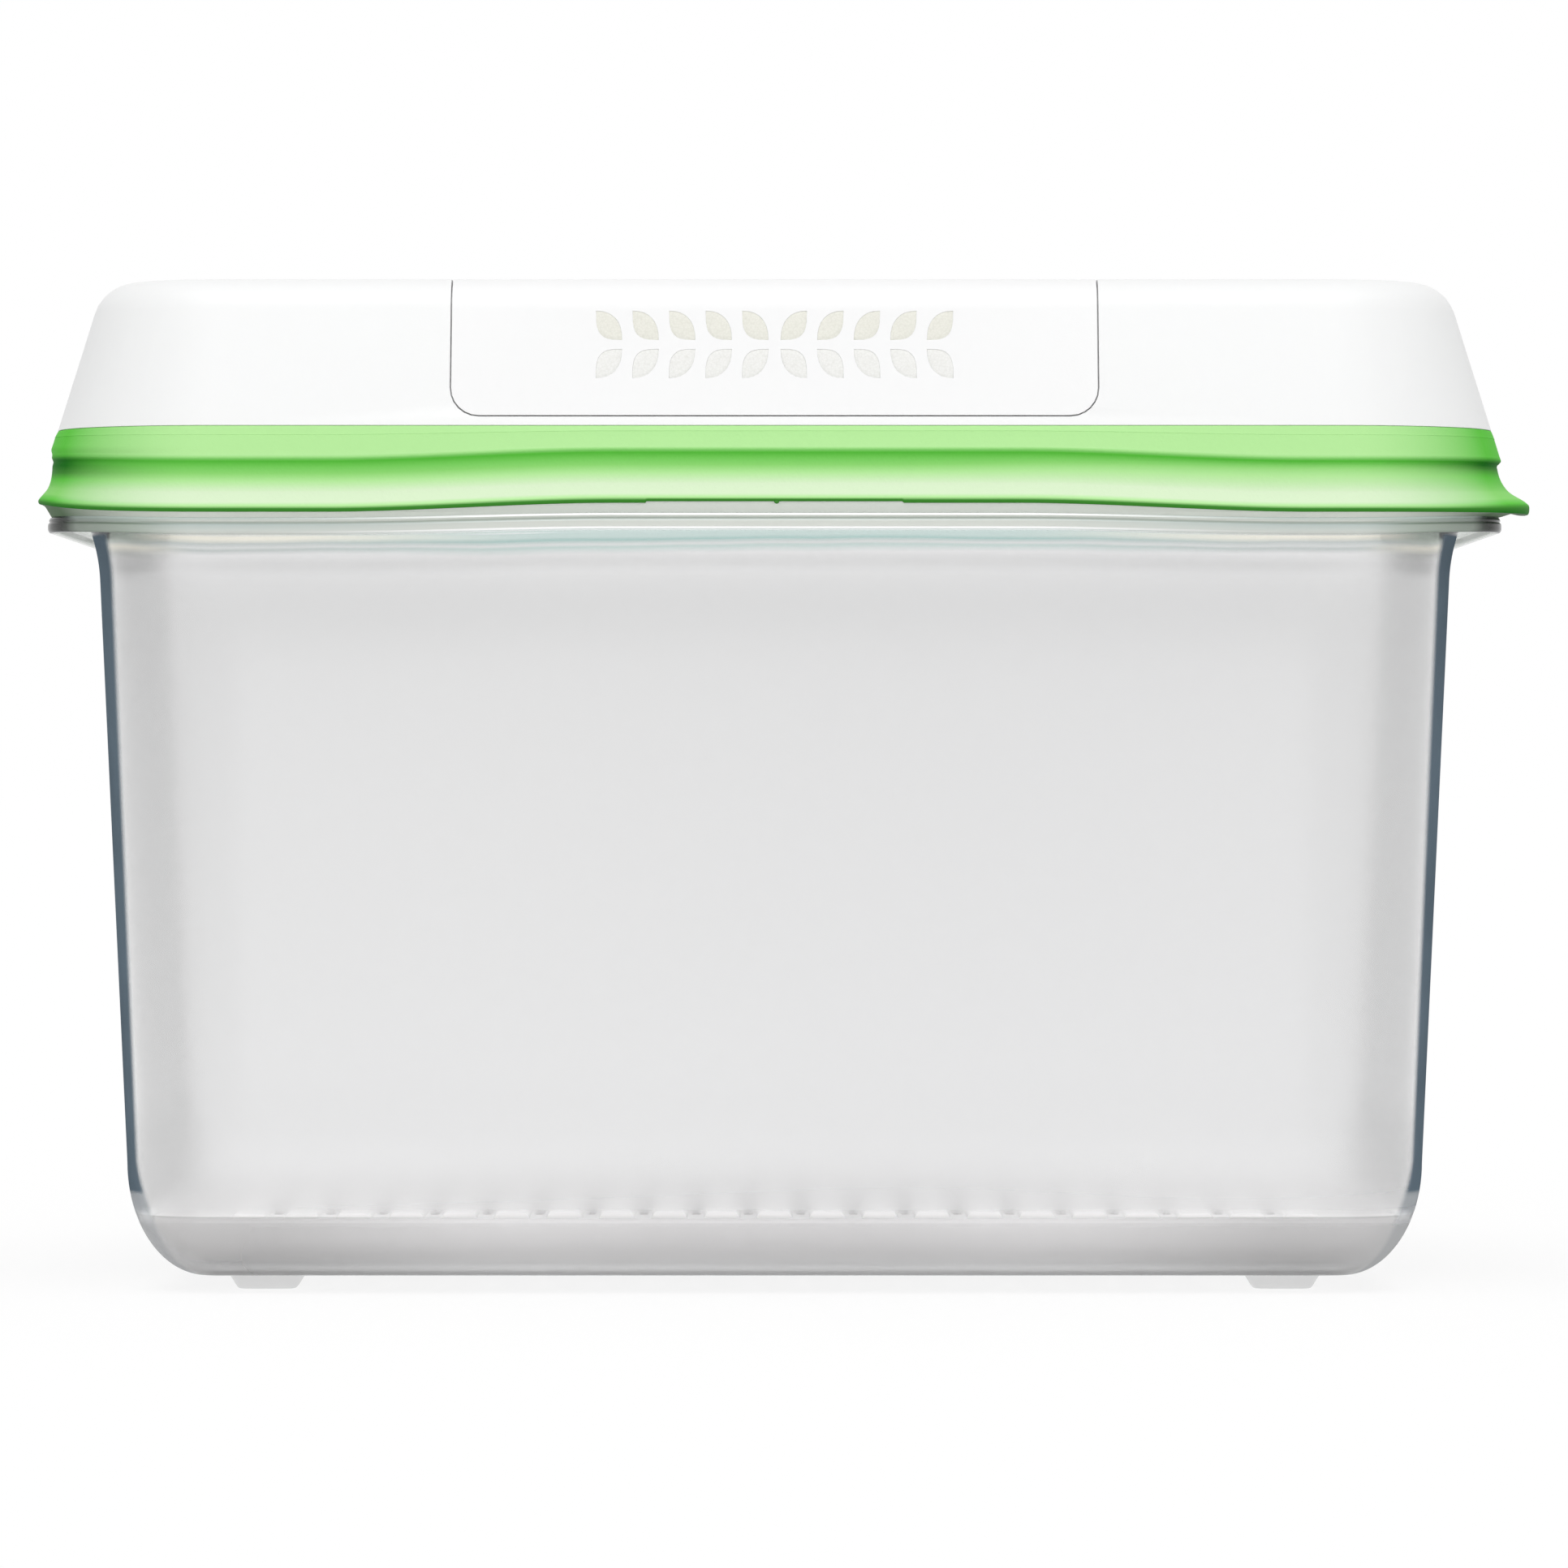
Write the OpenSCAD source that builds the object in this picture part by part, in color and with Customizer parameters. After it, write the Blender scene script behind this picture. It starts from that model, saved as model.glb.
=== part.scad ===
// Produce keeper: a drafted tub with a rolled rim, a ribbed crisping tray that rests on its floor,
// and a lift-off vented lid with a soft overmoulded brim.
// Origin at the middle of the footprint, on the surface that the feet stand on. +Z is up, the
// length runs along X and the front faces -Y. Sizes in millimetres.
// Plan outlines are concentric rounded rectangles, so a wall is a section of [offset, height] points
// carried round the four corner centres. The offset is measured outwards from those centres.

/* [Rim] */
// Length over the rim
rim_length = 268.2; // [240:1:320]
// Width over the rim
rim_width = 179.2; // [150:1:220]
// Plan radius of the rim's corners
rim_corner_r = 32; // [30:0.5:45]
// Height of the rim's shoulder, which the lid sits on, above the table
shoulder_z = 142.6; // [100:1:180]
// Height of the rim's face
rim_h = 3; // [2.6:0.1:5]
// How far the rim's face stands out past the wall under it
rim_overhang = 8; // [7:0.5:9]
// Thickness of the rim's outer edge, round the channel under it
rim_edge_t = 1.8; // [1.4:0.1:2.5]
// Thickness of the flange over the channel
flange_t = 1.6; // [1.2:0.1:2]
// How far the sealing lip stands in from the rim's face
lip_inset = 5.5; // [5:0.1:6.5]
// Thickness of the sealing lip
lip_t = 2.2; // [1.6:0.1:2.6]
// Height of the sealing lip above the shoulder
lip_h = 6.7; // [4:0.1:8]

/* [Tub] */
// Thickness of the tub's side walls
wall_t = 2.2; // [1.6:0.1:3]
// Thickness of the tub's floor
floor_t = 2.2; // [1.6:0.1:3]
// Draft of the side walls from vertical, in degrees
draft = 2.67; // [1.5:0.01:3.2]
// How far the wall flares out where it meets the rim
flare_out = 1.2; // [0.5:0.1:1.6]
// Height of the flared stretch of wall
flare_h = 8.6; // [6:0.1:14]
// Width of the rounding between wall and floor
base_round_w = 14.5; // [10:0.5:16]
// Height of the rounding between wall and floor
base_round_h = 20.8; // [15:0.1:26]

/* [Feet] */
// Height of the feet
foot_h = 2.8; // [1:0.1:5]
// Width of a foot where it stands
foot_w = 10.7; // [8:0.1:14]
// Corner radius of a foot where it stands
foot_r = 2.6; // [2:0.1:4]
// How far a foot spreads on each side up to the tub's floor
foot_spread = 1.75; // [0.5:0.05:3]
// Distance from a foot's centre to the tub's corner centre, along X and along Y
foot_inset = 8.1; // [7.5:0.1:14]

/* [Crisping tray] */
// Height of the tray's deck above the tub's floor
tray_rise = 9; // [6:0.5:14]
// Thickness of the tray
tray_t = 1.6; // [1.2:0.1:2.4]
// Gap between the tray's skirt and the tub's wall
tray_gap = 0.4; // [0.3:0.05:1]
// Height of the skirt's lower edge above the tub's floor
skirt_lift = 1.5; // [1:0.1:3]
// Number of ribs
rib_count = 21; // [11:2:25]
// Distance between the centres of the outer ribs
rib_span = 193; // [150:1:200]
// Width of a rib
rib_w = 6.65; // [4:0.05:7]
// Height of the middle rib
rib_h_mid = 1.2; // [0.8:0.1:2.5]
// Height of the outer ribs
rib_h_end = 0.6; // [0.4:0.1:2]
// How far the ribs' ends stay in from the tray's edge
rib_end_inset = 3; // [2:0.5:10]
// Width of a drain slot
slot_w = 1.6; // [1:0.1:2.4]
// Length of a drain slot
slot_l = 32; // [10:1:36]
// Drain slots in each gap between ribs
slot_rows = 3; // [1:1:3]
// Distance between the centres of neighbouring slots in a gap
slot_pitch = 42; // [38:1:45]

/* [Lid shell] */
// Wall of the dome
lid_t = 2; // [1.6:0.1:2.6]
// Slope of the dome's sides from vertical, in degrees
dome_slope = 17.4; // [12:0.1:20]
// Radius of the dome's upper edge
dome_edge_r = 8; // [6.5:0.5:10]
// Height of the dome above the brim
dome_h = 27.25; // [24:0.05:34]
// Thickness of the skirt outside the tub's lip and of the plug inside it
skirt_t = 1.8; // [1.4:0.1:2.1]
// Gap between the tub's lip and the skirt and plug on either side of it
lip_gap = 0.4; // [0.3:0.05:0.8]
// Gap between the top of the tub's lip and the roof of the lid's channel
lip_head_gap = 0.8; // [0.4:0.1:1.5]
// Thickness of the channel's roof
roof_t = 2; // [1.6:0.1:3]
// How far the plug reaches below the roof of the channel
plug_h = 6.1; // [3:0.1:6.5]

/* [Brim] */
// Height of the brim, from its seat to the edge of the dome
brim_h = 15.5; // [15:0.05:20]
// Gap between the brim's seat and the tub's shoulder
seat_gap = 0.35; // [0.3:0.05:0.6]
// Thickness of the brim under the skirt
brim_seat_t = 1.35; // [1:0.05:2]
// Gap between the moulded brim and the skirt
bond_gap = 0.2; // [0.15:0.05:0.4]
// Thickness of the brim at its upper edge
brim_top_t = 1.45; // [1.1:0.05:2]
// Thickness of the brim at its ridge
ridge_t = 3.15; // [2.8:0.05:4]
// Thickness of the brim at its waist
waist_t = 2.5; // [2:0.05:2.7]
// Reach of the brim's lip, from the skirt
brim_reach = 5.6; // [4.5:0.1:7]
// How far the lip hangs below the brim's seat
lip_droop = 0.5; // [0:0.05:0.7]
// How far the lifting edge at the right end reaches past the lip
lift_edge = 2.9; // [0:0.1:5]
// Rise of the wave in the middle of the long sides
wave_mid = 1.6; // [0:0.1:2.5]
// Rise of the wave at the left end
wave_left = 1.1; // [0:0.1:2]
// Rise of the wave at the right end
wave_right = 0.4; // [0:0.1:2]
// Where the raised middle ends on the left
wave_from = 29; // [10:1:40]
// Where the raised middle ends on the right
wave_to = 44; // [10:1:45]
// Length of the wave's slopes
wave_run = 53; // [30:1:56]

/* [Vent cover] */
// Width of the vent cover
cover_w = 117.4; // [90:0.1:130]
// Thickness of the vent cover
cover_t = 1.3; // [1:0.1:2]
// Gap round the vent cover
cover_gap = 0.25; // [0.15:0.05:0.5]
// Gap under the vent cover
cover_bed_gap = 0.15; // [0.1:0.05:0.3]
// Height of the cover's lower edges above the brim
cover_lift = 1.85; // [0.6:0.05:3]
// Radius of the cover's lower corners
cover_corner_r = 5; // [2:0.5:8]
// Thickness of the shell under the cover
bed_t = 2.4; // [2:0.1:3]
// Width of a clip that holds the cover
clip_w = 7; // [4:0.5:10]
// Thickness of a clip
clip_t = 1.3; // [1:0.1:1.8]
// Distance of the clips from the middle
clip_x = 47; // [44:0.5:50]
// Height of the clips above the cover's lower edges
clip_lift = 4; // [3:0.5:8]

/* [Leaf vents] */
// Leaves in each half of a row
leaf_count = 5; // [2:1:5]
// Width of a leaf
leaf_w = 4.75; // [3:0.05:5.5]
// Height of a leaf
leaf_h = 5.35; // [4:0.05:5.8]
// Fullness of a leaf's side towards its stem: 2 is a quarter of an ellipse, and more is fuller
leaf_belly = 3.4; // [2:0.1:4]
// Fullness of a leaf's other side
leaf_back = 2.35; // [2:0.05:4]
// Distance between neighbouring leaves
leaf_pitch = 6.65; // [6:0.01:7]
// Distance from the middle to the first leaf's centre
leaf_start = 3.5; // [3:0.1:5]
// Height of the line between the two rows above the brim
stem_lift = 14.85; // [12:0.05:16]
// Distance from that line to each row
row_gap = 0.85; // [0.5:0.05:1.5]

/* [Filters] */
// Thickness of a filter sheet
filter_t = 0.7; // [0.4:0.05:0.9]
// Margin of a filter sheet round the leaves
filter_margin = 1.6; // [1.2:0.1:2.5]
// Gap round a filter sheet in its pocket
filter_gap = 0.15; // [0.1:0.05:0.3]
// Width of the pocket's ledge that a filter sheet lies on
ledge_w = 1.2; // [0.8:0.1:1.4]
// Number of windows behind each filter sheet
window_count = 4; // [2:1:5]
// Width of the bars between the windows
window_bar = 2; // [1.5:0.1:4]

/* [Hidden] */
$fn = 96;

// Corner centres of every outline
cx = rim_length / 2 - rim_corner_r;
cy = rim_width / 2 - rim_corner_r;

// Heights, from the table up
floor_z = foot_h + floor_t;
round_top_z = foot_h + base_round_h;
rim_z = shoulder_z - rim_h;
flare_z = rim_z - flare_h;
channel_z = shoulder_z - flange_t;
lip_top_z = shoulder_z + lip_h;
deck_z = floor_z + tray_rise;
seat_z = shoulder_z + seat_gap;
skirt_z = seat_z + brim_seat_t + bond_gap;
roof_z = lip_top_z + lip_head_gap;
brim_top_z = seat_z + brim_h;
top_z = brim_top_z + dome_h;
cover_z = brim_top_z + cover_lift;
stem_z = brim_top_z + stem_lift;

// Offsets of the walls and lips outwards from the corner centres
lip_u = rim_corner_r - lip_inset;
flare_u = rim_corner_r - rim_overhang;
skirt_in_u = lip_u + lip_gap;
skirt_u = skirt_in_u + skirt_t;
plug_u = lip_u - lip_t - lip_gap;
dome_u = skirt_u + brim_top_t;
brim_in_u = skirt_u + bond_gap;
round_u = wall_u(round_top_z) - base_round_w;

// Depths below the dome's surface, at right angles to it
bed_d = cover_t + cover_bed_gap;
pocket_d = bed_d + filter_t + 2 * filter_gap;
bed_in_d = bed_d + bed_t;

// Half lengths of the leaf pattern, the filter sheets and their windows
vent_x = leaf_start + (leaf_count - 1) * leaf_pitch + leaf_w / 2;
vent_h = row_gap + leaf_h;
filter_x = vent_x + filter_margin;
filter_h = vent_h + filter_margin;

// Points along an arc, from angle a to angle b
function arc(u, z, r, a, b, n) =
    [for (i = [0:n]) [u + r * cos(a + (b - a) * i / n), z + r * sin(a + (b - a) * i / n)]];

// Points along a quarter ellipse, from angle a to angle b
function oval(u, z, w, h, a, b, n) =
    [for (i = [0:n]) [u + w * cos(a + (b - a) * i / n), z + h * sin(a + (b - a) * i / n)]];

// Smooth step from 0 to 1 as t goes from 0 to 1
function ease(t) = let(c = min(max(t, 0), 1)) c * c * (3 - 2 * c);

// Offset of the tub's drafted outer face at height z, without the flare
function wall_u(z) = flare_u - flare_out - (rim_z - z) * tan(draft);

// Offset of the tub's inner face at height z: the rounding to the floor, then the drafted wall
function cavity_u(z) =
    z < round_top_z
    ? round_u + (base_round_w - wall_t) * sqrt(1 - pow((round_top_z - z) / (base_round_h - floor_t), 2))
    : wall_u(z) - wall_t;

// A section carried round the four corner centres, which lie at half lengths hx and hy
module carried(section, hx, hy) {
    for (q = [[1, 1, 0], [-1, 1, 90], [-1, -1, 180], [1, -1, 270]])
        translate([q[0] * hx, q[1] * hy, 0])
            rotate([0, 0, q[2]])
                rotate_extrude(angle = 90)
                    polygon(section);
    for (side = [0, 1]) {
        mirror([0, side, 0])
            translate([-hx, hy, 0])
                rotate([90, 0, 90])
                    linear_extrude(2 * hx)
                        polygon(section);
        mirror([side, 0, 0])
            translate([hx, hy, 0])
                rotate([90, 0, 0])
                    linear_extrude(2 * hy)
                        polygon(section);
    }
}

// A slab between the corner centres, which closes a carried section that starts at offset 0
module middle(hx, hy, low, high) {
    translate([-hx, -hy, low])
        cube([2 * hx, 2 * hy, high - low]);
}

// The tub's section: floor, rounding, drafted wall, flare, channelled rim, sealing lip and inner face
tub_section = let(
    n = 5,
    bead_r = 0.55,
    groove = 0.3,
    crown_r = 0.85,
    flare_in = lip_u - lip_t - (wall_u(shoulder_z) - wall_t)
) concat(
    [[0, foot_h]],
    oval(round_u, round_top_z, base_round_w, base_round_h, -90, 0, 8),
    [for (i = [0:n]) let(t = i / n, z = flare_z + flare_h * t) [wall_u(z) + flare_out * t * t, z]],
    [[flare_u + 0.6, channel_z], [rim_corner_r - rim_edge_t, channel_z], [rim_corner_r - rim_edge_t, rim_z]],
    arc(rim_corner_r - bead_r, rim_z + bead_r, bead_r, -90, 0, 3),
    [[rim_corner_r, shoulder_z - 1.3], [rim_corner_r - groove, shoulder_z - 1.1]],
    arc(rim_corner_r - groove / 2 - crown_r, shoulder_z - crown_r, crown_r, 0, 90, 4),
    [[lip_u + 0.5, shoulder_z], [lip_u, shoulder_z + 0.5]],
    arc(lip_u - lip_t / 2, lip_top_z - lip_t / 2, lip_t / 2, 0, 180, 6),
    [for (i = [n:-1:0]) let(t = i / n, z = flare_z + (shoulder_z - flare_z) * t)
        [wall_u(z) - wall_t + flare_in * pow(t, 3), z]],
    oval(round_u, round_top_z, base_round_w - wall_t, base_round_h - floor_t, 0, -90, 8),
    [[0, floor_z]]
);

module foot() {
    half = foot_w / 2 - foot_r;
    section = [[0, 0], [foot_r, 0], [foot_r + foot_spread, foot_h], [0, foot_h]];
    carried(section, half, half);
    middle(half, half, 0, foot_h);
}

module tub() {
    color([0.86, 0.87, 0.87, 0.6]) {
        carried(tub_section, cx, cy);
        middle(cx, cy, foot_h, floor_z);
        for (sx = [-1, 1], sy = [-1, 1])
            translate([sx * (cx - foot_inset), sy * (cy - foot_inset), 0])
                foot();
    }
}

// The tray's section: a deck with a rounded edge and a skirt that follows the tub's rounding
tray_section = let(
    n = 5,
    edge_r = 0.8,
    low = floor_z + skirt_lift,
    high = deck_z - edge_r,
    edge_u = cavity_u(high) - tray_gap
) concat(
    [[0, deck_z - tray_t], [edge_u - 2 * tray_t, deck_z - tray_t]],
    [for (i = [n:-1:0]) let(z = low + (deck_z - 2 * tray_t - low) * i / n)
        [cavity_u(z) - tray_gap - 1.3 * tray_t, z]],
    [for (i = [0:n]) let(z = low + (high - low) * i / n) [cavity_u(z) - tray_gap, z]],
    arc(edge_u - edge_r, high, edge_r, 20, 90, 3),
    [[0, deck_z]]
);

// Height of rib i, from the highest in the middle to the lowest at the ends
function rib_h(i) =
    let(t = abs(2 * i / (rib_count - 1) - 1)) rib_h_mid + (rib_h_end - rib_h_mid) * t * t;

module rib(i) {
    length = 2 * (cy + cavity_u(deck_z) - tray_gap - rib_end_inset);
    side = 0.7;
    h = rib_h(i);
    rotate([90, 0, 0])
        linear_extrude(length, center = true)
            polygon([[-rib_w / 2, -0.5], [rib_w / 2, -0.5], [rib_w / 2, 0],
                     [rib_w / 2 - side, h], [-rib_w / 2 + side, h], [-rib_w / 2, 0]]);
}

module drain_slot() {
    r = slot_w / 2;
    for (y = [-1, 1])
        translate([0, y * (slot_l / 2 - r), 0])
            cylinder(h = 4 * tray_t, r = r, center = true);
    cube([slot_w, slot_l - slot_w, 4 * tray_t], center = true);
}

module crisp_tray() {
    pitch = rib_span / (rib_count - 1);
    color([0.72, 0.72, 0.74, 0.8])
        difference() {
            union() {
                carried(tray_section, cx, cy);
                middle(cx, cy, deck_z - tray_t, deck_z);
                for (i = [0:rib_count - 1])
                    translate([(i - (rib_count - 1) / 2) * pitch, 0, deck_z])
                        rib(i);
            }
            for (i = [0:rib_count - 2], k = [0:slot_rows - 1])
                translate([(i - (rib_count - 2) / 2) * pitch, (k - (slot_rows - 1) / 2) * slot_pitch, deck_z])
                    drain_slot();
        }
}

// The dome's outline at depth d under its surface, from height low up to the flat top
function dome_outline(d, low) = let(
    r = dome_edge_r - d,
    slope_u = dome_u - (low - brim_top_z) * tan(dome_slope) - d / cos(dome_slope),
    centre_z = top_z - dome_edge_r,
    centre_u = dome_u - (centre_z - brim_top_z) * tan(dome_slope) - dome_edge_r / cos(dome_slope)
) concat([[slope_u, low]], arc(centre_u, centre_z, r, dome_slope, 90, 6));

// Height at which the sloping inner face of the dome meets the skirt's inner face
meet_z = brim_top_z + (dome_u - lid_t / cos(dome_slope) - skirt_in_u) / tan(dome_slope);

// The shell without its bed: dome, step under the brim, skirt, channel for the tub's lip, and plug
module shell_body() {
    inner = dome_outline(lid_t, meet_z);
    outer = dome_outline(0, brim_top_z);
    section = concat(
        [[0, top_z]],
        [for (i = [len(outer) - 1:-1:0]) outer[i]],
        [[skirt_u, brim_top_z], [skirt_u, skirt_z], [skirt_in_u, skirt_z], [skirt_in_u, roof_z],
         [plug_u, roof_z], [plug_u, roof_z - plug_h], [plug_u - skirt_t, roof_z - plug_h],
         [plug_u - skirt_t, roof_z + roof_t], [skirt_in_u, roof_z + roof_t]],
        inner,
        [[0, top_z - lid_t]]
    );
    carried(section, cx, cy);
    middle(cx, cy, top_z - lid_t, top_z);
}

// A strip of the dome's skin between two depths, front to back over the top, of a given width
module saddle(d_out, d_in, width, low) {
    outer = dome_outline(d_out, low);
    inner = dome_outline(d_in, low);
    band = concat(
        [for (p = outer) [cy + p[0], p[1]]],
        [for (i = [len(outer) - 1:-1:0]) [-cy - outer[i][0], outer[i][1]]],
        [for (p = inner) [-cy - p[0], p[1]]],
        [for (i = [len(inner) - 1:-1:0]) [cy + inner[i][0], inner[i][1]]]
    );
    translate([-width / 2, 0, 0])
        rotate([90, 0, 90])
            linear_extrude(width)
                polygon(band);
}

// The cover's outline seen from the front: square at the top, round at the two lower corners
module cover_outline(grow) {
    half = cover_w / 2 + grow;
    r = cover_corner_r + grow;
    low = cover_z - grow;
    points = concat(
        [[half, top_z + 5]], [[-half, top_z + 5]],
        arc(-half + r, low + r, r, 180, 270, 6),
        arc(half - r, low + r, r, 270, 360, 6)
    );
    rotate([90, 0, 0])
        linear_extrude(rim_width, center = true)
            polygon(points);
}

// Point at angle a of a quarter superellipse over a box of w by h
function bow(w, h, a, fullness) = [w * pow(cos(a), 2 / fullness), h * pow(sin(a), 2 / fullness)];

// One leaf between two opposite corners of its box, centred, with its tips up left and down right
module leaf() {
    n = 8;
    corner = [leaf_w, leaf_h] / 2;
    points = concat(
        [for (i = [0:n]) bow(leaf_w, leaf_h, 90 - 90 * i / n, leaf_back) - corner],
        [for (i = [1:n - 1]) corner - bow(leaf_w, leaf_h, 90 - 90 * i / n, leaf_belly)]
    );
    polygon(points);
}

// The two mirrored rows of leaves, cut through front and back
module leaf_cuts() {
    translate([0, 0, stem_z])
        rotate([90, 0, 0])
            linear_extrude(rim_width, center = true)
                for (right = [0, 1], down = [0, 1], k = [0:leaf_count - 1])
                    mirror([right, 0])
                        mirror([0, down])
                            translate([-leaf_start - k * leaf_pitch, row_gap + leaf_h / 2])
                                leaf();
}

// A clip on the cover's inner face at depth d, which reaches through the shell's bed and hooks behind it
module clip(grow) {
    z = cover_z + clip_lift;
    face_u = cy + dome_u - (z - brim_top_z) * tan(dome_slope) - cover_t / cos(dome_slope);
    reach = (bed_in_d - cover_t) / cos(dome_slope) + 0.3;
    hook = 0.7;
    tip = 1.1;
    points = [[face_u + 0.6, z - grow], [face_u + 0.6, z + clip_t + grow],
              [face_u - reach, z + clip_t + grow], [face_u - reach, z + clip_t + hook + grow],
              [face_u - reach - tip, z + clip_t + grow], [face_u - reach - tip, z - grow]];
    for (side = [0, 1], x = [-1, 1])
        mirror([0, side, 0])
            translate([x * clip_x - clip_w / 2 - grow, 0, 0])
                rotate([90, 0, 90])
                    linear_extrude(clip_w + 2 * grow)
                        polygon(points);
}

// The space of both filter sheets, grown by grow, between two depths; front and back are its halves
module filter_space(d_out, d_in, grow) {
    intersection() {
        saddle(d_out, d_in, 2 * (filter_x + grow), stem_z - filter_h - grow);
        translate([0, 0, stem_z])
            cube([rim_length, rim_width, 2 * (filter_h + grow)], center = true);
    }
}

// The windows behind the filter sheets, split by bars
module windows() {
    half = filter_x - ledge_w;
    pane = (2 * half - (window_count - 1) * window_bar) / window_count;
    height = 2 * (filter_h - ledge_w);
    for (i = [0:window_count - 1])
        translate([-half + i * (pane + window_bar), -rim_width / 2, stem_z - height / 2])
            cube([pane, rim_width, height]);
}

module lid_shell() {
    bed_grow = cover_gap + bed_t;
    color("white")
        difference() {
            union() {
                shell_body();
                saddle(bed_d, bed_in_d, cover_w + 2 * bed_grow, brim_top_z - 1);
            }
            intersection() {
                saddle(-1, bed_d, cover_w + 4 * cover_gap, brim_top_z - 1);
                cover_outline(cover_gap);
            }
            filter_space(bed_d - 0.5, pocket_d, filter_gap);
            windows();
            clip(filter_gap);
        }
}

// How far the wave lifts the brim on a long side at x
function wave(x) = wave_mid * ease((x < 0 ? wave_from + wave_run + x : wave_to + wave_run - x) / wave_run);

// The stations that the brim is carried through, each as [x, y, direction, wave lift, lifting edge]
corner_steps = 10;
long_steps = 26;
short_steps = 6;
brim_stations = concat(
    [for (i = [1:short_steps - 1]) [cx, -cy + 2 * cy * i / short_steps, 0, wave_right, 1]],
    [for (i = [0:corner_steps]) let(t = i / corner_steps)
        [cx, cy, 90 * t, wave_right * (1 - ease(t)), 1 - ease(1.4 * t)]],
    [for (i = [1:long_steps - 1]) let(x = cx - 2 * cx * i / long_steps) [x, cy, 90, wave(x), 0]],
    [for (i = [0:corner_steps]) let(t = i / corner_steps) [-cx, cy, 90 + 90 * t, wave_left * ease(t), 0]],
    [for (i = [1:short_steps - 1]) [-cx, cy - 2 * cy * i / short_steps, 180, wave_left, 0]],
    [for (i = [0:corner_steps]) let(t = i / corner_steps)
        [-cx, -cy, 180 + 90 * t, wave_left * (1 - ease(t)), 0]],
    [for (i = [1:long_steps - 1]) let(x = -cx + 2 * cx * i / long_steps) [x, -cy, 270, wave(x), 0]],
    [for (i = [0:corner_steps]) let(t = i / corner_steps)
        [cx, -cy, 270 + 90 * t, wave_right * ease(t), ease(1 - 1.4 * (1 - t))]]
);

// The brim's section as [offset, height, share of the wave, share of the lifting edge], against the clock
ridge_z = seat_z + 9.6;
brim_section = [
    [skirt_in_u, seat_z, 0, 0],
    [rim_corner_r - 1, seat_z, 0, 0],
    [skirt_u + 0.7 * brim_reach, seat_z + 0.1 - 0.2 * lip_droop, 0.7, 0.5],
    [skirt_u + brim_reach - 0.4, seat_z + 0.15 - lip_droop, 1, 1],
    [skirt_u + brim_reach, seat_z + 0.7 - lip_droop, 1, 1],
    [skirt_u + brim_reach - 0.2, seat_z + 1.2 - lip_droop, 1, 1],
    [skirt_u + 0.84 * brim_reach, seat_z + 1.95 - 0.7 * lip_droop, 1, 0.9],
    [skirt_u + 0.64 * brim_reach, seat_z + 3.35 - 0.3 * lip_droop, 1, 0.5],
    [skirt_u + 0.5 * brim_reach, seat_z + 5.3, 1, 0.08],
    [skirt_u + waist_t, seat_z + 7.3, 1, 0],
    [skirt_u + waist_t + 0.15, ridge_z - 0.65, 1, 0],
    [skirt_u + ridge_t, ridge_z - 0.2, 1, 0],
    [skirt_u + ridge_t - 0.08, ridge_z + 0.3, 1, 0],
    [skirt_u + (ridge_t + brim_top_t) / 2, (ridge_z + brim_top_z) / 2, 0.45, 0],
    [dome_u, brim_top_z - 0.05, 0, 0],
    [brim_in_u, brim_top_z - 0.05, 0, 0],
    [brim_in_u, skirt_z - bond_gap, 0, 0],
    [skirt_in_u, skirt_z - bond_gap, 0, 0]
];

module brim_seal() {
    m = len(brim_section);
    n = len(brim_stations);
    points = [for (s = brim_stations, p = brim_section)
        let(u = p[0] + lift_edge * s[4] * p[3])
        [s[0] + u * cos(s[2]), s[1] + u * sin(s[2]), p[1] + s[3] * p[2]]];
    faces = [for (i = [0:n - 1], j = [0:m - 1]) let(
            a = i * m + j,
            b = i * m + (j + 1) % m,
            c = ((i + 1) % n) * m + (j + 1) % m,
            d = ((i + 1) % n) * m + j
        ) each [[a, b, c], [a, c, d]]];
    color([0.49, 0.86, 0.41])
        polyhedron(points, faces);
}

module vent_cover() {
    color("white") {
        difference() {
            intersection() {
                saddle(0, cover_t, cover_w, cover_z);
                cover_outline(0);
            }
            leaf_cuts();
        }
        clip(0);
    }
}

module vent_filter(side) {
    color([0.91, 0.91, 0.86])
        intersection() {
            filter_space(bed_d + filter_gap, bed_d + filter_gap + filter_t, 0);
            translate([-rim_length / 2, side > 0 ? 0 : -rim_width, 0])
                cube([rim_length, rim_width, top_z]);
        }
}

module vent_filter_front() {
    vent_filter(-1);
}

module vent_filter_back() {
    vent_filter(1);
}

tub();
crisp_tray();
lid_shell();
brim_seal();
vent_cover();
vent_filter_front();
vent_filter_back();
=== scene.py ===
"""A rectangular produce keeper: a clear drafted tub, a frosted crisping tray that rests in it, and a
lift-off white lid with a soft green brim and a vent cover. Lengths in a piece's section are in
millimetres, and its mesh is written in metres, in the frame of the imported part."""

import math

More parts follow.
